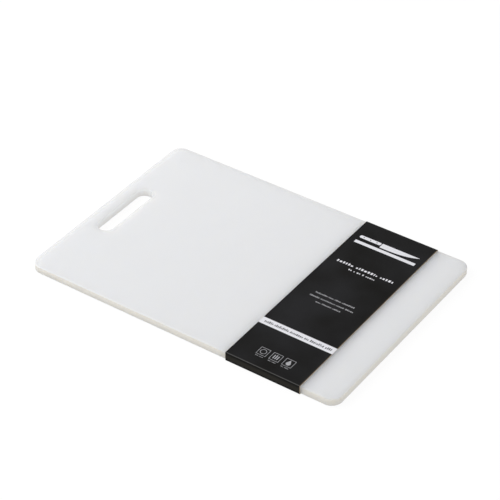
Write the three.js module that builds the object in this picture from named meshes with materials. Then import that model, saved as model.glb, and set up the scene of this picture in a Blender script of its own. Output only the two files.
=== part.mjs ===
// A white plastic cutting board with a handle slot, wrapped in its printed card sleeve.
// Millimetres, +Z up. X runs along the board, with the handle slot at the -X end, and Y runs across it.
// The origin is under the middle of the board, on the plane that the wrapped board lies on.

import * as THREE from 'three';

// ---- Board: one solid slab of polyethylene ----
const BOARD_LENGTH = 430;
const BOARD_WIDTH = 295;
const BOARD_THICKNESS = 10.5;
const CORNER_RADIUS = 14.5;
const EDGE_RADIUS = 1.5;

// ---- Handle slot: a stadium-shaped hole that goes right through the board ----
const SLOT_LENGTH = 96;
const SLOT_WIDTH = 21.2;
const SLOT_FROM_END = 17.5;

// ---- Card sleeve: one strip of card folded round the board, its ends glued together underneath ----
const SLEEVE_LENGTH = 100;
const SLEEVE_CENTRE_X = 118.8;
const CARD_THICKNESS = 0.4;
const CARD_GAP = 0.15;
const FOLD_RADIUS = 0.6;
const FLAP_OVERLAP = 30;
const GLUE_THICKNESS = 0.1;
const GLUE_WIDTH = 12;
const GLUE_INSET = 6;

// ---- Segments of the round stretches ----
const CORNER_SEGMENTS = 12;
const SLOT_END_SEGMENTS = 24;
const EDGE_SEGMENTS = 4;
const FOLD_SEGMENTS = 4;

// ---- Heights, worked out from the sizes above ----
const INNER_FLAP_BOTTOM = CARD_THICKNESS + GLUE_THICKNESS;
const BOARD_BOTTOM = INNER_FLAP_BOTTOM + CARD_THICKNESS + CARD_GAP;
const BOARD_TOP = BOARD_BOTTOM + BOARD_THICKNESS;

const material = (color, roughness) => new THREE.MeshStandardMaterial({ color, roughness, metalness: 0 });

function named(name, geometry, surface) {
  const mesh = new THREE.Mesh(geometry, surface);
  mesh.name = name;
  return mesh;
}

/** Points of a quarter or half turn about a centre, from one angle to another, ends included. */
function arcPoints(centreX, centreY, radius, fromAngle, toAngle, segments) {
  return Array.from({ length: segments + 1 }, (_, i) => {
    const angle = THREE.MathUtils.lerp(fromAngle, toAngle, i / segments);
    return new THREE.Vector2(centreX + radius * Math.cos(angle), centreY + radius * Math.sin(angle));
  });
}

/** A rectangle with rounded corners, centred on a point on the X axis, as a counterclockwise outline. */
function roundedRectangle(centreX, length, width, radius, segments) {
  const x = length / 2 - radius;
  const y = width / 2 - radius;
  const quarter = Math.PI / 2;
  const corners = [[x, y], [-x, y], [-x, -y], [x, -y]];
  return corners.flatMap(([cornerX, cornerY], i) =>
    arcPoints(centreX + cornerX, cornerY, radius, i * quarter, (i + 1) * quarter, segments));
}

/** The slot's outline: two half circles joined by straight walls, as a clockwise hole. */
function slotOutline(inset) {
  const radius = SLOT_WIDTH / 2 + inset;
  const reach = (SLOT_LENGTH - SLOT_WIDTH) / 2;
  const centreX = -BOARD_LENGTH / 2 + SLOT_FROM_END + SLOT_WIDTH / 2;
  const ends = [
    ...arcPoints(centreX, reach, radius, 0, Math.PI, SLOT_END_SEGMENTS),
    ...arcPoints(centreX, -reach, radius, Math.PI, 2 * Math.PI, SLOT_END_SEGMENTS),
  ];
  return ends.reverse();
}

/** The slab. Its flat faces are an edge radius smaller all round, and the bevel swells to full size. */
function boardGeometry() {
  const face = new THREE.Shape(roundedRectangle(
    0,
    BOARD_LENGTH - 2 * EDGE_RADIUS,
    BOARD_WIDTH - 2 * EDGE_RADIUS,
    CORNER_RADIUS - EDGE_RADIUS,
    CORNER_SEGMENTS,
  ));
  face.holes.push(new THREE.Path(slotOutline(EDGE_RADIUS)));
  const geometry = new THREE.ExtrudeGeometry(face, {
    depth: BOARD_THICKNESS - 2 * EDGE_RADIUS,
    bevelEnabled: true,
    bevelSize: EDGE_RADIUS,
    bevelThickness: EDGE_RADIUS,
    bevelSegments: EDGE_SEGMENTS,
  });
  return geometry.translate(0, 0, BOARD_BOTTOM + EDGE_RADIUS);
}

/**
 * One face of the card, seen along the sleeve with Y to the right and Z up. It starts at the free end
 * of the inner flap, under the board, and goes counterclockwise round the board to the free end of
 * the outer flap. The offset is the face's distance outside the middle of the card.
 */
function cardFace(offset) {
  const half = CARD_THICKNESS / 2;
  const side = BOARD_WIDTH / 2 + CARD_GAP + half;
  const top = BOARD_TOP + CARD_GAP + half;
  const innerFlap = INNER_FLAP_BOTTOM + half;
  const outerFlap = half;
  const radius = FOLD_RADIUS + offset;
  const quarter = Math.PI / 2;
  const fold = (y, z, turns) => arcPoints(
    y - Math.sign(y) * FOLD_RADIUS,
    z + (z === top ? -FOLD_RADIUS : FOLD_RADIUS),
    radius,
    turns * quarter,
    (turns + 1) * quarter,
    FOLD_SEGMENTS,
  );
  return [
    new THREE.Vector2(-FLAP_OVERLAP / 2, innerFlap - offset),
    ...fold(side, innerFlap, -1),
    ...fold(side, top, 0),
    ...fold(-side, top, 1),
    ...fold(-side, outerFlap, 2),
    new THREE.Vector2(FLAP_OVERLAP / 2, outerFlap - offset),
  ];
}

/** The sleeve's section is the strip between the card's outer and inner faces, drawn out along X. */
function sleeveGeometry() {
  const outside = cardFace(CARD_THICKNESS / 2);
  const inside = cardFace(-CARD_THICKNESS / 2);
  const section = new THREE.Shape([...outside, ...inside.reverse()]);
  const geometry = new THREE.ExtrudeGeometry(section, { depth: SLEEVE_LENGTH, bevelEnabled: false });
  const sectionToBoard = new THREE.Matrix4().makeBasis(
    new THREE.Vector3(0, 1, 0),
    new THREE.Vector3(0, 0, 1),
    new THREE.Vector3(1, 0, 0),
  );
  return geometry.applyMatrix4(sectionToBoard).translate(SLEEVE_CENTRE_X - SLEEVE_LENGTH / 2, 0, 0);
}

/** The adhesive fills the space between the two flaps, along the middle of their overlap. */
function glueStrip() {
  const geometry = new THREE.BoxGeometry(SLEEVE_LENGTH - 2 * GLUE_INSET, GLUE_WIDTH, GLUE_THICKNESS);
  const strip = named('sleeve_glue_strip', geometry, material(0xd9cfae, 0.5));
  strip.position.set(SLEEVE_CENTRE_X, 0, CARD_THICKNESS + GLUE_THICKNESS / 2);
  return strip;
}

const cuttingBoard = new THREE.Group();
cuttingBoard.add(
  named('board', boardGeometry(), material(0xe8e8e6, 0.45)),
  named('card_sleeve', sleeveGeometry(), material(0x2b2b2d, 0.55)),
  glueStrip(),
);

export default cuttingBoard;
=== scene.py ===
"""Looks of a white plastic cutting board in its printed card sleeve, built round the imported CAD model.

Metres, +Z up. X runs along the board, with the handle slot at the -X end, and Y runs across it.
"""
import math
import random

import bmesh
import bpy
from mathutils import Matrix, Vector


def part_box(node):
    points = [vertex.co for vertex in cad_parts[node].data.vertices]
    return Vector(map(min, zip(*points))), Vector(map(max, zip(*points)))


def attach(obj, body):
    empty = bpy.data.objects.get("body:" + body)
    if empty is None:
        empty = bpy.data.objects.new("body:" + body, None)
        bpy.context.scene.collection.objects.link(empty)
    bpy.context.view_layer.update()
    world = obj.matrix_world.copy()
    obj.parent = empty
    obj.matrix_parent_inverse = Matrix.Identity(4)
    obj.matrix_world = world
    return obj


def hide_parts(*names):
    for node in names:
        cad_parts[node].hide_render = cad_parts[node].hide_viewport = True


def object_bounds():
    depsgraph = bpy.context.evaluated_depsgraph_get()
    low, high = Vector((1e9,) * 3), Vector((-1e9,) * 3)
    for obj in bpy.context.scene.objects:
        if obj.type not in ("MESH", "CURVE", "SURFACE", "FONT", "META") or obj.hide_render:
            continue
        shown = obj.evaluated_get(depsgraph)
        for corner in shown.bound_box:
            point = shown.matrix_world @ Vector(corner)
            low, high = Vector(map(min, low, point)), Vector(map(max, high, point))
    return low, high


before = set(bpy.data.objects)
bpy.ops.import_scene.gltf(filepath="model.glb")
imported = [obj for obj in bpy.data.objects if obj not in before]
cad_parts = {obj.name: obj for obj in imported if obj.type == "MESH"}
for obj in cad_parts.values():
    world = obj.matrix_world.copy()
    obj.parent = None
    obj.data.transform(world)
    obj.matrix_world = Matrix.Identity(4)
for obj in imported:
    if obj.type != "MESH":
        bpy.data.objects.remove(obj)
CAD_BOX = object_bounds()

MM = 0.001

# ---- Places that come from the CAD model ----
BOARD_LOW, BOARD_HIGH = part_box("board")
SLEEVE_LOW, SLEEVE_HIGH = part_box("card_sleeve")
GLUE_LOW, GLUE_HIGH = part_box("sleeve_glue_strip")

# ---- Board ----
CORNER_RADIUS = 14.5 * MM
EDGE_RADIUS = 1.5 * MM
SLOT_LENGTH = 96.0 * MM
SLOT_WIDTH = 21.2 * MM
SLOT_FROM_END = 17.5 * MM
SLOT_CENTRE_X = BOARD_LOW.x + SLOT_FROM_END + SLOT_WIDTH / 2
SLOT_REACH = (SLOT_LENGTH - SLOT_WIDTH) / 2
FLAT_RIM = 5.0 * MM
CORNER_SEGMENTS = 24
SLOT_END_SEGMENTS = 48
EDGE_SEGMENTS = 8
WALL_SEGMENTS = 4
SAW_MARK_LEAN = 0.69
SAW_MARK_SCALE = 480.0
# Length along X over which the painted highlight on the front rounded edges fades out.
HIGHLIGHT_FADE = 150.0 * MM
# Strength of the painted shade on the rounded edges that face +Y.
LONG_SIDE_PAINTED_SHADE = 0.5

# ---- Card sleeve ----
CARD_THICKNESS = 0.4 * MM
CARD_GAP = 0.05 * MM
FOLD_RADIUS = 0.65 * MM
FOLD_SEGMENTS = 8
FOLD_STEP = 0.15 * MM
NEAR_FOLD_STATIONS = 19
WIDE_PANEL_SEGMENTS = 24
NARROW_PANEL_SEGMENTS = 40
SLEEVE_SEGMENTS = 16
SCORE_DEPTH = 0.15 * MM
SCORE_WIDTH = 2.2 * MM
# Width of the worn ink and painted highlight next to each fold.
FOLD_WEAR_AND_HIGHLIGHT = 0.6 * MM
FRAY_WIDTH = 0.5 * MM
FLAP_OVERLAP = 30.0 * MM
BAND_Y = (-83.1 * MM, -71.9 * MM)
# Panels, counted from the inner flap
UPPER_PANEL = 2
SIDE_PANELS = (1, 3)
# Places in the card's list of materials
PRINTED, CUT, BACK, BAND = range(4)

# ---- Print on the sleeve's upper panel ----
INK_THICKNESS = 0.015 * MM
INK_SINK = 0.03 * MM
PANEL_TOP = BOARD_HIGH.z + CARD_GAP + CARD_THICKNESS
INK_LOW = PANEL_TOP - INK_SINK
INK_HIGH = PANEL_TOP + INK_THICKNESS
LABEL_CENTRE_X = (SLEEVE_LOW.x + SLEEVE_HIGH.x) / 2 + 0.4 * MM
LETTER_GAP = 0.4
WORD_GAP = 1.15
ICON_Y = -122.8 * MM
ICON_PITCH = 17.05 * MM
ICON_SHIFT = 1.2 * MM

# ---- Camera ----
CAMERA_AZIMUTH = math.radians(35.02)
CAMERA_ELEVATION = math.radians(37.83)
CAMERA_ROLL = math.radians(-0.17)
CAMERA_DISTANCE = 2.322
CAMERA_RISE = 0.0240
CAMERA_SIDESTEP = -0.0006
CAMERA_LENS = 141.36
CAMERA_SENSOR = 36


def clamp(value):
    return min(max(value, 0.0), 1.0)


# ---------------------------------------------------------------- outlines

def arc(centre_x, centre_y, radius, start, end, segments):
    """Points from one angle to another, both ends included."""
    angles = [start + (end - start) * i / segments for i in range(segments + 1)]
    return [(centre_x + radius * math.cos(a), centre_y + radius * math.sin(a)) for a in angles]


def rounded_rectangle(low_x, low_y, high_x, high_y, radius, segments):
    """A counterclockwise outline."""
    corners = [
        (high_x - radius, high_y - radius),
        (low_x + radius, high_y - radius),
        (low_x + radius, low_y + radius),
        (high_x - radius, low_y + radius),
    ]
    points = []
    for i, (x, y) in enumerate(corners):
        points += arc(x, y, radius, i * math.pi / 2, (i + 1) * math.pi / 2, segments)
    return points


def board_outline(inset):
    """The slab's outline, drawn in by an inset."""
    return rounded_rectangle(
        BOARD_LOW.x + inset,
        BOARD_LOW.y + inset,
        BOARD_HIGH.x - inset,
        BOARD_HIGH.y - inset,
        CORNER_RADIUS - inset,
        CORNER_SEGMENTS,
    )


def slot_outline(inset):
    """The handle slot's outline, widened into the slab by an inset."""
    radius = SLOT_WIDTH / 2 + inset
    upper = arc(SLOT_CENTRE_X, SLOT_REACH, radius, 0, math.pi, SLOT_END_SEGMENTS)
    lower = arc(SLOT_CENTRE_X, -SLOT_REACH, radius, math.pi, 2 * math.pi, SLOT_END_SEGMENTS)
    return upper + lower


# ---------------------------------------------------------------- meshes

def add_object(name, bm, materials, body, smooth=True):
    """Turns a bmesh into a piece that rides on a body and takes its finish from a slot."""
    bmesh.ops.recalc_face_normals(bm, faces=bm.faces)
    for face in bm.faces:
        face.smooth = smooth
    mesh = bpy.data.meshes.new(name)
    bm.to_mesh(mesh)
    bm.free()
    for surface in materials:
        mesh.materials.append(surface)
    piece = bpy.data.objects.new(name, mesh)
    bpy.context.scene.collection.objects.link(piece)
    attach(piece, body)
    return piece


def skin(bm, rings, closed):
    """Quads between neighbouring rings of vertices."""
    for lower, upper in zip(rings, rings[1:]):
        count = len(lower)
        for i in range(count if closed else count - 1):
            j = (i + 1) % count
            bm.faces.new((lower[i], lower[j], upper[j], upper[i]))


def wall_profile():
    """(inset, height, share of side wall, share of painted highlight) from the underside round the edge to
    the top.
    """
    low, high = BOARD_LOW.z, BOARD_HIGH.z
    profile = [(EDGE_RADIUS + FLAT_RIM, low, 0.0, 0.0)]
    for i in range(EDGE_SEGMENTS + 1):
        angle = i / EDGE_SEGMENTS * math.pi / 2
        inset = EDGE_RADIUS * (1 - math.sin(angle))
        height = low + EDGE_RADIUS * (1 - math.cos(angle))
        profile.append((inset, height, i / EDGE_SEGMENTS, math.sin(2 * angle)))
    for i in range(1, WALL_SEGMENTS):
        height = low + EDGE_RADIUS + (high - low - 2 * EDGE_RADIUS) * i / WALL_SEGMENTS
        profile.append((0.0, height, 1.0, 0.0))
    for inset, height, side, highlight_share in reversed(profile[:EDGE_SEGMENTS + 2]):
        profile.append((inset, low + high - height, side, highlight_share))
    return profile


def outer_facing(place):
    """The level direction that the slab's outer wall faces at a place on it."""
    inner_x = min(max(place.x, BOARD_LOW.x + CORNER_RADIUS), BOARD_HIGH.x - CORNER_RADIUS)
    inner_y = min(max(place.y, BOARD_LOW.y + CORNER_RADIUS), BOARD_HIGH.y - CORNER_RADIUS)
    return Vector((place.x - inner_x, place.y - inner_y)).normalized()


def slot_facing(place):
    """The level direction that the slot's wall faces at a place on it."""
    middle_y = min(max(place.y, -SLOT_REACH), SLOT_REACH)
    return Vector((SLOT_CENTRE_X - place.x, middle_y - place.y)).normalized()


def build_board(surface):
    """The slab: an outer wall and a slot wall with rounded edges, and two flat faces between them."""
    bm = bmesh.new()
    names = ("side", "slot_side", "painted_highlight_rim", "painted_shade_rim")
    layers = {name: bm.verts.layers.float.new(name) for name in names}

    def wall(outline, facing_at, kind):
        rings = []
        for inset, height, side, highlight_share in wall_profile():
            on_edge = 0 < inset <= EDGE_RADIUS
            ring = [bm.verts.new((x, y, height)) for x, y in outline(inset)]
            for vert in ring:
                facing = facing_at(vert.co)
                # Painted shade on the rounded edges facing -X and, at half strength, +Y.
                far_side_shade = max(LONG_SIDE_PAINTED_SHADE * clamp(facing.y), clamp(-facing.x))
                vert[layers[kind]] = side
                # Painted highlight on the rounded edges facing -Y, strongest at the -X end and gone by the
                # middle.
                vert[layers["painted_highlight_rim"]] = highlight_share * clamp(-facing.y) * clamp(-vert.co.x / HIGHLIGHT_FADE)
                vert[layers["painted_shade_rim"]] = far_side_shade if on_edge else 0.0
            rings.append(ring)
        skin(bm, rings, closed=True)
        return rings

    outer = wall(board_outline, outer_facing, "side")
    slot = wall(slot_outline, slot_facing, "slot_side")
    for level in (0, -1):
        rims = []
        for ring in (outer[level], slot[level]):
            rims += [bm.edges.get((ring[i - 1], ring[i])) for i in range(len(ring))]
        bmesh.ops.triangle_fill(bm, use_beauty=True, edges=rims)
    return add_object("board_slab", bm, [surface], "board")


# ---------------------------------------------------------------- card sleeve

def score(distance):
    """How deep the scored line is on a side panel at a distance from its fold, and how strong the painted
    shade in it, from 0 to 1.
    """
    return math.exp(-(distance / SCORE_WIDTH) ** 2)


def panel_stations(length, fold_at_start, fold_at_end):
    """Distances along a flat panel, close together near its folds, or evenly spaced if it is narrow."""
    near = [FOLD_STEP * i for i in range(1, NEAR_FOLD_STATIONS + 1)]
    if length < 4 * near[-1]:
        return [length * i / NARROW_PANEL_SEGMENTS for i in range(1, NARROW_PANEL_SEGMENTS)]
    flat = length - 2 * near[-1]
    far = [near[-1] + flat * i / WIDE_PANEL_SEGMENTS for i in range(1, WIDE_PANEL_SEGMENTS)]
    start = near if fold_at_start else near[-1:]
    end = [length - d for d in reversed(near if fold_at_end else near[-1:])]
    return start + far + end


def card_stations():
    """
    Places on the card's middle line, seen along X with Y to the right: (point, normal, score_and_shade,
    painted_sheen, wear_and_highlight).
    They start at the inner flap's free end and go round the board to the outer flap's free end.
    The two side panels are scored next to their folds, with painted shade in the scores, and carry a painted
    sheen all over;
    the others are worn at their folds and free ends, with a painted highlight at their folds.
    """
    half = CARD_THICKNESS / 2
    side = BOARD_HIGH.y + CARD_GAP + half
    top = BOARD_HIGH.z + CARD_GAP + half
    inner_flap = GLUE_HIGH.z + half
    outer_flap = SLEEVE_LOW.z + half
    corners = [(side, inner_flap), (side, top), (-side, top), (-side, outer_flap)]
    path = [(-FLAP_OVERLAP / 2, inner_flap)] + corners + [(FLAP_OVERLAP / 2, outer_flap)]
    stations = []
    for leg in range(5):
        start, end = Vector(path[leg]), Vector(path[leg + 1])
        along = (end - start).normalized()
        normal = Vector((along.y, -along.x))
        folded_start, folded_end = leg > 0, leg < 4
        first = start + along * (FOLD_RADIUS if folded_start else 0)
        last = end - along * (FOLD_RADIUS if folded_end else 0)
        length = (last - first).length
        stops = panel_stations(length, folded_start, folded_end)
        if leg == UPPER_PANEL:
            stops = sorted(stops + [first.x - y for y in BAND_Y])
        on_side = leg in SIDE_PANELS
        if not folded_start:
            stations.append((first, normal, 0.0, 0.0, 1.0))
        for stop in stops:
            reach = min(stop if folded_start else length, length - stop if folded_end else length)
            score_and_shade = score(reach) if on_side else 0.0
            wear_and_highlight = 0.0 if on_side else math.exp(-(reach / FOLD_WEAR_AND_HIGHLIGHT) ** 2)
            stations.append((first + along * stop, normal, score_and_shade, float(on_side), wear_and_highlight))
        if not folded_end:
            stations.append((last, normal, 0.0, 0.0, 1.0))
            continue
        # Each bend turns from worn and painted with a highlight, next to an upper or lower panel, to scored
        # and painted with shade, next to a side panel.
        centre = last - normal * FOLD_RADIUS
        for i in range(FOLD_SEGMENTS + 1):
            turned = i / FOLD_SEGMENTS
            outward = Matrix.Rotation(turned * math.pi / 2, 2) @ normal
            to_side = 1 - turned if on_side else turned
            score_and_shade = clamp((to_side - 0.5) / 0.3)
            wear_and_highlight = clamp((0.7 - to_side) / 0.2)
            stations.append((centre + outward * FOLD_RADIUS, outward, score_and_shade, to_side, wear_and_highlight))
    return stations


def sleeve_columns():
    """Places along the sleeve's length, close together at its two cut edges."""
    edge = [0.0, 0.12 * MM, 0.25 * MM, 0.4 * MM, 0.6 * MM, 0.9 * MM, 1.5 * MM]
    length = SLEEVE_HIGH.x - SLEEVE_LOW.x
    flat = length - 2 * edge[-1]
    middle = [edge[-1] + flat * i / SLEEVE_SEGMENTS for i in range(1, SLEEVE_SEGMENTS)]
    return [SLEEVE_LOW.x + d for d in edge + middle + [length - d for d in reversed(edge)]]


def build_sleeve(black, raw_edge, back, white):
    """A closed strip of card with an outer face, an inner face and four cut edges."""
    bm = bmesh.new()
    layers = {name: bm.verts.layers.float.new(name) for name in ("score_and_shade", "painted_sheen", "wear_and_highlight", "fray")}
    stations = card_stations()
    columns = sleeve_columns()
    outer, inner = [], []
    for x in columns:
        fray = math.exp(-((columns[-1] - x) / FRAY_WIDTH) ** 2)
        outer_row, inner_row = [], []
        for point, normal, score_and_shade, painted_sheen, wear_and_highlight in stations:
            out = point + normal * (CARD_THICKNESS / 2 - SCORE_DEPTH * score_and_shade)
            back_point = point - normal * CARD_THICKNESS / 2
            outer_row.append(bm.verts.new((x, out.x, out.y)))
            inner_row.append(bm.verts.new((x, back_point.x, back_point.y)))
            outer_row[-1][layers["score_and_shade"]] = score_and_shade
            outer_row[-1][layers["painted_sheen"]] = painted_sheen
            outer_row[-1][layers["wear_and_highlight"]] = wear_and_highlight
            outer_row[-1][layers["fray"]] = fray
        outer.append(outer_row)
        inner.append(inner_row)

    skin(bm, outer, closed=False)
    band_low, band_high = BAND_Y
    for face in bm.faces:
        middle = face.calc_center_median()
        in_band = band_low < middle.y < band_high and middle.z > BOARD_HIGH.z
        face.material_index = BAND if in_band else PRINTED
    printed = set(bm.faces)
    skin(bm, inner, closed=False)
    for face in set(bm.faces) - printed:
        face.material_index = BACK
    finished = set(bm.faces)
    skin(bm, [outer[0], inner[0]], closed=False)
    skin(bm, [outer[-1], inner[-1]], closed=False)
    skin(bm, [[row[0] for row in outer], [row[0] for row in inner]], closed=False)
    skin(bm, [[row[-1] for row in outer], [row[-1] for row in inner]], closed=False)
    for face in set(bm.faces) - finished:
        face.material_index = CUT
    for edge in bm.edges:
        on_cut = {face.material_index == CUT for face in edge.link_faces}
        edge.smooth = len(on_cut) == 1
    return add_object("sleeve_card", bm, [black, raw_edge, back, white], "sleeve")


# ---------------------------------------------------------------- print

def prism(bm, outline, low=INK_LOW, high=INK_HIGH):
    """A closed flat shape from an outline."""
    bottom = [bm.verts.new((x, y, low)) for x, y in outline]
    top = [bm.verts.new((x, y, high)) for x, y in outline]
    skin(bm, [bottom, top], closed=True)
    bm.faces.new(top)
    bm.faces.new(bottom[::-1])


def ring(bm, outer, inner):
    """A closed flat ring between two outlines with the same number of points."""
    loops = []
    for outline, height in ((outer, INK_LOW), (outer, INK_HIGH), (inner, INK_HIGH), (inner, INK_LOW)):
        loops.append([bm.verts.new((x, y, height)) for x, y in outline])
    skin(bm, loops + loops[:1], closed=True)


def block(bm, low_x, low_y, high_x, high_y, radius=0.15 * MM):
    """A filled rectangle with slightly soft corners."""
    prism(bm, rounded_rectangle(low_x, low_y, high_x, high_y, radius, 2))


def greeked_line(bm, words, centre_x, base_y, height, length, seed):
    """
    A stand-in for a line of text that can't be read: one plain upright block for each letter,
    in groups for words, spaced to fill a length.
    """
    draw = random.Random(seed)
    places = []
    x = 0.0
    for letters in words:
        for _ in range(letters):
            width = draw.uniform(0.35, 0.8)
            places.append((x, x + width, draw.choice((0.65, 0.8, 1.0))))
            x += width + LETTER_GAP
        x += WORD_GAP - LETTER_GAP
    scale = length / (x - WORD_GAP)
    start = centre_x - length / 2
    for low, high, share in places:
        block(bm, start + low * scale, base_y, start + high * scale, base_y + share * height, 0.1 * height)


def knife(bm, low_x, centre_y, length, height):
    """A plain cook's knife lying along X, as a generic badge: handle on the left, blade on the right."""
    handle_end = low_x + 0.36 * length
    tip_x = low_x + length
    handle_half = 0.27 * height
    handle = rounded_rectangle(
        low_x, centre_y - handle_half, handle_end, centre_y + handle_half, 0.8 * handle_half, 8)
    prism(bm, handle)
    heel_x = handle_end + 0.012 * length
    spine_y = centre_y + handle_half
    belly_y = centre_y - 0.62 * height
    blade = [(heel_x, spine_y), (heel_x, belly_y)]
    segments = 16
    curve = 3.2
    for i in range(1, segments + 1):
        t = i / segments
        x = heel_x + (tip_x - heel_x) * t
        y = belly_y + (spine_y - belly_y) * t ** curve
        blade.append((x, y))
    prism(bm, blade)


def rivets(bm, low_x, centre_y, length, height):
    """Three dark dots on the knife's handle."""
    radius = 0.09 * height
    for share in (0.07, 0.18, 0.29):
        dot = arc(low_x + share * length, centre_y, radius, 0, 2 * math.pi, 16)[:-1]
        prism(bm, dot, high=INK_HIGH + INK_THICKNESS)


def square_ring(bm, x, y, side, stroke):
    half = side / 2
    hole = half - stroke
    corner = 0.4 * MM
    outer = rounded_rectangle(x - half, y - half, x + half, y + half, corner, 4)
    inner = rounded_rectangle(x - hole, y - hole, x + hole, y + hole, corner / 2, 4)
    ring(bm, outer, inner)


def circle_icon(bm, x, y):
    radius = 4.0 * MM
    stroke = 0.6 * MM
    outer = arc(x, y, radius, 0, 2 * math.pi, 48)[:-1]
    inner = arc(x, y, radius - stroke, 0, 2 * math.pi, 48)[:-1]
    ring(bm, outer, inner)


def bars_icon(bm, x, y):
    pitch = 2.6 * MM
    half = 0.65 * MM
    for step, top in ((-1, 3.2), (0, 4.0), (1, 3.2)):
        middle = x + step * pitch
        block(bm, middle - half, y - 3.6 * MM, middle + half, y + top * MM, 0.6 * MM)


def drop_icon(bm, x, y):
    radius = 2.9 * MM
    bowl_y = y - 1.3 * MM
    bowl = arc(x, bowl_y, radius, math.radians(150), math.radians(390), 32)
    prism(bm, bowl + [(x, y + 4.9 * MM)])


def build_print(white, grey, dark):
    """Every printed mark is a thin flat piece on the upper panel."""
    x = LABEL_CENTRE_X

    badge = bmesh.new()
    knife_place = (x - 41.0 * MM, 118.0 * MM, 82.0 * MM, 9.4 * MM)
    knife(badge, *knife_place)
    block(badge, x - 41.7 * MM, 104.6 * MM, x + 41.7 * MM, 109.6 * MM)
    add_object("print_badge", badge, [white], "sleeve", smooth=False)

    dots = bmesh.new()
    rivets(dots, *knife_place)
    add_object("print_badge_rivets", dots, [dark], "sleeve", smooth=False)

    title = bmesh.new()
    greeked_line(title, (6, 8, 5), x, 62.0 * MM, 3.8 * MM, 77.0 * MM, seed=11)
    greeked_line(title, (2, 1, 2, 1, 5), x, 54.6 * MM, 2.6 * MM, 35.5 * MM, seed=12)
    add_object("print_title", title, [white], "sleeve", smooth=False)

    details = bmesh.new()
    greeked_line(details, (8, 3, 4, 8), x, -2.0 * MM, 2.4 * MM, 52.6 * MM, seed=13)
    greeked_line(details, (6, 10, 5, 5), x, -9.6 * MM, 2.4 * MM, 58.6 * MM, seed=14)
    greeked_line(details, (3, 6, 5), x, -16.9 * MM, 2.4 * MM, 33.0 * MM, seed=15)
    add_object("print_details", details, [grey], "sleeve", smooth=False)

    band_text = bmesh.new()
    greeked_line(band_text, (6, 9, 8, 3, 9, 4), x, -79.4 * MM, 4.0 * MM, 90.0 * MM, seed=16)
    add_object("print_band_text", band_text, [dark], "sleeve", smooth=False)

    icons = bmesh.new()
    for step, draw_icon in ((-1, circle_icon), (0, bars_icon), (1, drop_icon)):
        icon_x = x + step * ICON_PITCH + ICON_SHIFT
        square_ring(icons, icon_x, ICON_Y, 12.7 * MM, 0.5 * MM)
        draw_icon(icons, icon_x, ICON_Y)
        greeked_line(icons, (3, 4), icon_x, -132.2 * MM, 1.2 * MM, 10.0 * MM, seed=20 + step)
    add_object("print_icons", icons, [grey], "sleeve", smooth=False)


# ---------------------------------------------------------------- adhesive

def build_glue(surface):
    """The adhesive line, squeezed out a little unevenly between the two flaps."""
    bm = bmesh.new()
    segments = 80
    span = GLUE_HIGH.x - GLUE_LOW.x
    wave = 0.7 * MM

    def edge(side, phase):
        points = []
        for i in range(segments + 1):
            t = i / segments
            swell = math.sin(23 * t + phase) + 0.5 * math.sin(61 * t + 2 * phase)
            y = side * (GLUE_HIGH.y - wave + wave * swell / 1.5)
            points.append((GLUE_LOW.x + span * t, y))
        return points

    prism(bm, edge(-1, 0.4) + edge(1, 1.9)[::-1], GLUE_LOW.z, GLUE_HIGH.z)
    return add_object("glue_line", bm, [surface], "sleeve", smooth=False)


# ---------------------------------------------------------------- materials

class Surface:
    """A node material with a Principled shader, and short calls for its nodes."""

    def __init__(self, name, **values):
        self.material = bpy.data.materials.new(name)
        self.material.use_nodes = True
        self.tree = self.material.node_tree
        self.shader = self.tree.nodes["Principled BSDF"]
        for key, value in values.items():
            self.shader.inputs[key.replace("_", " ").title().replace("Ior", "IOR")].default_value = value
        self.place = self.add("ShaderNodeTexCoord").outputs["Object"]

    def add(self, kind, inputs=(), **settings):
        """A node with its settings; inputs pairs a socket's name or number with a value or an output."""
        made = self.tree.nodes.new(kind)
        for key, value in settings.items():
            setattr(made, key, value)
        for key, value in dict(inputs).items():
            if isinstance(value, bpy.types.NodeSocket):
                self.tree.links.new(value, made.inputs[key])
            else:
                made.inputs[key].default_value = value
        return made

    def noise(self, scale, detail=2.0, stretch=(1, 1, 1), roughness=0.5):
        """Noise with features of about 1/scale metres, squeezed by stretch."""
        mapping = self.add("ShaderNodeMapping", {"Vector": self.place, "Scale": stretch})
        sockets = {"Vector": mapping.outputs[0], "Scale": scale, "Detail": detail, "Roughness": roughness}
        return self.add("ShaderNodeTexNoise", sockets).outputs["Fac"]

    def attribute(self, name):
        return self.add("ShaderNodeAttribute", attribute_name=name).outputs["Fac"]

    def math(self, operation, a, b=0.0):
        return self.add("ShaderNodeMath", {0: a, 1: b}, operation=operation).outputs[0]

    def remap(self, value, low, high, new_low, new_high):
        sockets = {"Value": value, "From Min": low, "From Max": high, "To Min": new_low, "To Max": new_high}
        return self.add("ShaderNodeMapRange", sockets).outputs["Result"]

    def mix(self, factor, a, b):
        return self.add("ShaderNodeMix", {"Factor": factor, 6: a, 7: b}, data_type="RGBA").outputs[2]

    def bump(self, height, distance, strength, below=None):
        sockets = {"Height": height, "Distance": distance, "Strength": strength}
        if below is not None:
            sockets["Normal"] = below
        return self.add("ShaderNodeBump", sockets).outputs["Normal"]

    def wire(self, **sockets):
        for key, output in sockets.items():
            self.tree.links.new(output, self.shader.inputs[key.replace("_", " ").title()])
        return self.material


def grey(value):
    return (value, value, value, 1.0)


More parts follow.
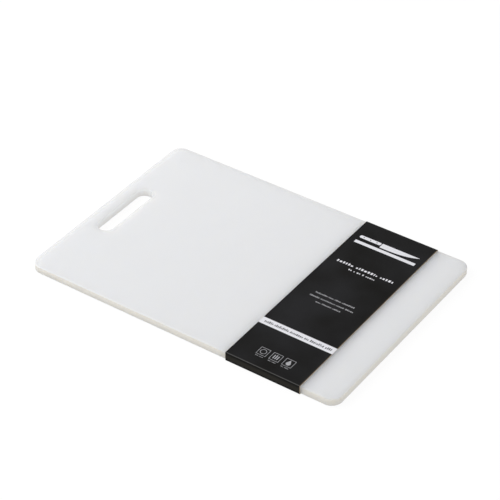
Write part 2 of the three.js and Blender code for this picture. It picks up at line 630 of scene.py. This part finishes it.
def polyethylene():
    """Milky slab: satin faces with a fine grain, and side walls with slanting saw marks. The walls carry
    painted shade towards the bottom, the slot wall is painted paler as painted light, the far rounded edges
    carry painted shade and the front ones a painted highlight.
    """
    s = Surface(
        "milky_polyethylene",
        subsurface_weight=1.0,
        subsurface_radius=(1.0, 0.95, 0.86),
        subsurface_scale=0.09,
        subsurface_anisotropy=0.8,
        specular_ior_level=0.4,
    )
    side = s.attribute("side")
    cloud = s.noise(16, detail=4)
    grain = s.noise(1700, detail=3)
    axes = s.add("ShaderNodeSeparateXYZ", {0: s.place}).outputs
    lean = s.math("MULTIPLY", axes[2], SAW_MARK_LEAN)
    sheared = {0: s.math("SUBTRACT", axes[0], lean), 1: s.math("SUBTRACT", axes[1], lean), 2: 0.0}
    along_wall = s.add("ShaderNodeCombineXYZ", sheared).outputs[0]
    saw = {"Vector": along_wall, "Scale": SAW_MARK_SCALE, "Detail": 3.0}
    marks = s.add("ShaderNodeTexNoise", saw).outputs["Fac"]
    face_colour = s.mix(s.remap(cloud, 0.3, 0.7, 0, 1), (0.896, 0.870, 0.836, 1), (0.910, 0.884, 0.850, 1))
    sawn = s.mix(s.remap(marks, 0.35, 0.65, 0, 1), (0.775, 0.680, 0.565, 1), (0.825, 0.730, 0.610, 1))
    # Painted light and shade: every wall is painted darker towards the bottom, and the slot wall is painted
    # much paler than the outer walls to make up for the light its recess lacks.
    rise = s.remap(axes[2], BOARD_LOW.z, BOARD_HIGH.z, 0, 1)
    slot_painted_light_and_shade = s.mix(rise, (0.965, 0.905, 0.790, 1), (0.998, 0.992, 0.960, 1))
    wall_painted_shade = s.mix(rise, (0.785, 0.690, 0.570, 1), sawn)
    colour = s.mix(s.attribute("slot_side"), face_colour, slot_painted_light_and_shade)
    colour = s.mix(side, colour, wall_painted_shade)
    # Painted shade: the far rounded edges are painted grey.
    colour = s.mix(s.attribute("painted_shade_rim"), colour, (0.55, 0.56, 0.59, 1))
    # Painted highlight: a pale line along the front rounded edges.
    colour = s.mix(s.math("MULTIPLY", s.attribute("painted_highlight_rim"), 0.8), colour, (0.97, 0.96, 0.93, 1))
    rough = s.math("ADD", s.remap(cloud, 0.3, 0.7, 0.36, 0.44), s.math("MULTIPLY", side, 0.1))
    fine = s.bump(grain, 0.02 * MM, 0.35)
    cut = s.bump(s.math("MULTIPLY", marks, side), 0.01 * MM, 0.2, below=fine)
    return s.wire(base_color=colour, roughness=rough, normal=cut)


def black_print():
    """Black ink on satin-coated card: worn along its folds with a painted highlight, painted shade in its
    scores, a painted sheen on its side panels, frayed at one end.
    """
    s = Surface("black_printed_card", specular_ior_level=0.06)
    fibre = s.noise(900, detail=4, stretch=(1, 0.35, 1))
    cloud = s.noise(14, detail=2)
    chips = s.noise(1500, detail=2)
    ink = s.mix(s.remap(cloud, 0.3, 0.7, 0, 1), (0.0035, 0.0031, 0.0022, 1), (0.0150, 0.0150, 0.0165, 1))
    # Painted sheen: the side panels are painted a lighter brownish black than the upper and lower panels.
    ink = s.mix(s.attribute("painted_sheen"), ink, (0.0225, 0.0207, 0.0165, 1))
    # Painted shade: the scored bands next to the side panels' folds are painted near black.
    ink = s.mix(s.attribute("score_and_shade"), ink, (0.002, 0.002, 0.002, 1))
    # Worn ink and painted highlight: the first part of each fold next to the upper and lower panels, and the
    # free flap ends, are painted grey, broken up by chips.
    wear_and_highlight_share = s.remap(s.math("ADD", s.attribute("wear_and_highlight"), s.math("MULTIPLY", chips, 0.5)), 0.8, 1.5, 0, 0.6)
    colour = s.mix(wear_and_highlight_share, ink, (0.20, 0.20, 0.195, 1))
    colour = s.mix(s.attribute("fray"), colour, (0.36, 0.27, 0.18, 1))
    rough = s.remap(fibre, 0.3, 0.7, 0.52, 0.64)
    normal = s.bump(fibre, 0.03 * MM, 0.4)
    return s.wire(base_color=colour, roughness=rough, normal=normal)


def raw_card():
    """The cut edge of the card: pressed plies in grey-brown."""
    s = Surface("raw_card_edge", specular_ior_level=0.2)
    plies = s.noise(260, detail=3, stretch=(1, 1, 30))
    colour = s.mix(s.remap(plies, 0.3, 0.7, 0, 1), (0.44, 0.35, 0.25, 1), (0.60, 0.50, 0.37, 1))
    normal = s.bump(s.noise(5000), 0.02 * MM, 0.6)
    rough = s.remap(plies, 0.3, 0.7, 0.8, 0.92)
    return s.wire(base_color=colour, roughness=rough, normal=normal)


def card_back():
    """The uncoated inner face: pale greyboard with darker and lighter fibres."""
    s = Surface("card_back", specular_ior_level=0.2)
    flecks = s.noise(1300, detail=4, stretch=(1, 0.25, 1), roughness=0.7)
    cloud = s.noise(45, detail=3)
    base = s.mix(s.remap(cloud, 0.3, 0.7, 0, 1), (0.42, 0.39, 0.33, 1), (0.50, 0.47, 0.41, 1))
    colour = s.mix(s.remap(flecks, 0.55, 0.75, 0, 0.7), base, (0.20, 0.17, 0.13, 1))
    rough = s.remap(flecks, 0.3, 0.7, 0.82, 0.95)
    return s.wire(base_color=colour, roughness=rough, normal=s.bump(flecks, 0.05 * MM, 0.5))


def ink(name, low, high):
    """Offset ink: its tone wanders a little, as the solid areas of a press sheet do."""
    s = Surface(name, specular_ior_level=0.25)
    press = s.noise(700, detail=3)
    colour = s.mix(s.remap(press, 0.3, 0.7, 0, 1), low, high)
    rough = s.remap(press, 0.3, 0.7, 0.5, 0.62)
    return s.wire(base_color=colour, roughness=rough, normal=s.bump(press, 0.01 * MM, 0.3))


def adhesive():
    """Dried adhesive, amber and slightly glossy."""
    s = Surface("dried_adhesive", specular_ior_level=0.5, subsurface_weight=0.2)
    cloud = s.noise(220, detail=3)
    colour = s.mix(s.remap(cloud, 0.3, 0.7, 0, 1), (0.62, 0.50, 0.28, 1), (0.72, 0.62, 0.40, 1))
    return s.wire(base_color=colour, roughness=s.remap(cloud, 0.3, 0.7, 0.3, 0.5))


# ---------------------------------------------------------------- stage

def build_floor():
    """A wide plain floor under the sleeve's lowest face."""
    half = 6.0
    bm = bmesh.new()
    corners = [(-half, -half), (half, -half), (half, half), (-half, half)]
    bm.faces.new([bm.verts.new((x, y, CAD_BOX[0][2] - 0.05 * MM)) for x, y in corners])
    mesh = bpy.data.meshes.new("floor")
    bm.to_mesh(mesh)
    bm.free()
    s = Surface("floor_paper", roughness=0.9, specular_ior_level=0.0)
    s.shader.inputs["Base Color"].default_value = grey(0.1)
    s.shader.inputs["Emission Color"].default_value = grey(1.0)
    s.shader.inputs["Emission Strength"].default_value = 0.92
    mesh.materials.append(s.material)
    floor = bpy.data.objects.new("floor", mesh)
    bpy.context.scene.collection.objects.link(floor)
    floor.visible_diffuse = False
    floor.visible_shadow = False


def area_light(name, azimuth, elevation, distance, size, power):
    """A square softbox that looks at the board's middle. Azimuth 0 is at +X and 90 at +Y, in degrees."""
    data = bpy.data.lights.new(name, "AREA")
    data.shape = "SQUARE"
    data.size = size
    data.energy = power
    a, e = math.radians(azimuth), math.radians(elevation)
    direction = Vector((math.cos(a) * math.cos(e), math.sin(a) * math.cos(e), math.sin(e)))
    light = bpy.data.objects.new(name, data)
    light.location = direction * distance
    light.rotation_euler = direction.to_track_quat("Z", "Y").to_euler()
    bpy.context.scene.collection.objects.link(light)


def build_lights():
    world = bpy.data.worlds.new("studio")
    world.use_nodes = True
    world.node_tree.nodes["Background"].inputs["Color"].default_value = (1.0, 1.0, 1.0, 1)
    world.node_tree.nodes["Background"].inputs["Strength"].default_value = 0.53
    bpy.context.scene.world = world
    area_light("left_softbox", azimuth=215, elevation=45, distance=2.2, size=1.8, power=32.0)
    area_light("back_softbox", azimuth=125, elevation=20, distance=2.2, size=1.4, power=9.0)


def build_camera():
    """The photographer's view: a long lens from the front right, aimed a little above the board's centre."""
    back = Vector((
        math.sin(CAMERA_AZIMUTH) * math.cos(CAMERA_ELEVATION),
        -math.cos(CAMERA_AZIMUTH) * math.cos(CAMERA_ELEVATION),
        math.sin(CAMERA_ELEVATION),
    ))
    right = Vector((math.cos(CAMERA_AZIMUTH), math.sin(CAMERA_AZIMUTH), 0))
    up = back.cross(right)
    aim = Vector((0, 0, BOARD_LOW.z)) + up * CAMERA_RISE + right * CAMERA_SIDESTEP
    turn = Matrix((right, up, back)).transposed().to_4x4() @ Matrix.Rotation(CAMERA_ROLL, 4, "Z")
    data = bpy.data.cameras.new("camera")
    data.sensor_width = CAMERA_SENSOR
    data.lens = CAMERA_LENS
    camera = bpy.data.objects.new("camera", data)
    camera.matrix_world = Matrix.Translation(aim + back * CAMERA_DISTANCE) @ turn
    bpy.context.scene.collection.objects.link(camera)
    bpy.context.scene.camera = camera


# ---------------------------------------------------------------- the scene

build_camera()
build_lights()
build_floor()

slab = build_board(polyethylene())
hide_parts("board")

white_ink = ink("white_ink", (0.76, 0.76, 0.80, 1), (0.83, 0.83, 0.87, 1))
grey_ink = ink("grey_ink", (0.36, 0.36, 0.38, 1), (0.44, 0.44, 0.46, 1))
dark_ink = ink("dark_ink", (0.05, 0.05, 0.055, 1), (0.08, 0.08, 0.085, 1))
card = build_sleeve(black_print(), raw_card(), card_back(), white_ink)
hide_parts("card_sleeve")
build_print(white_ink, grey_ink, dark_ink)

glue = build_glue(adhesive())
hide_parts("sleeve_glue_strip")

bpy.context.scene.view_settings.view_transform = "Standard"
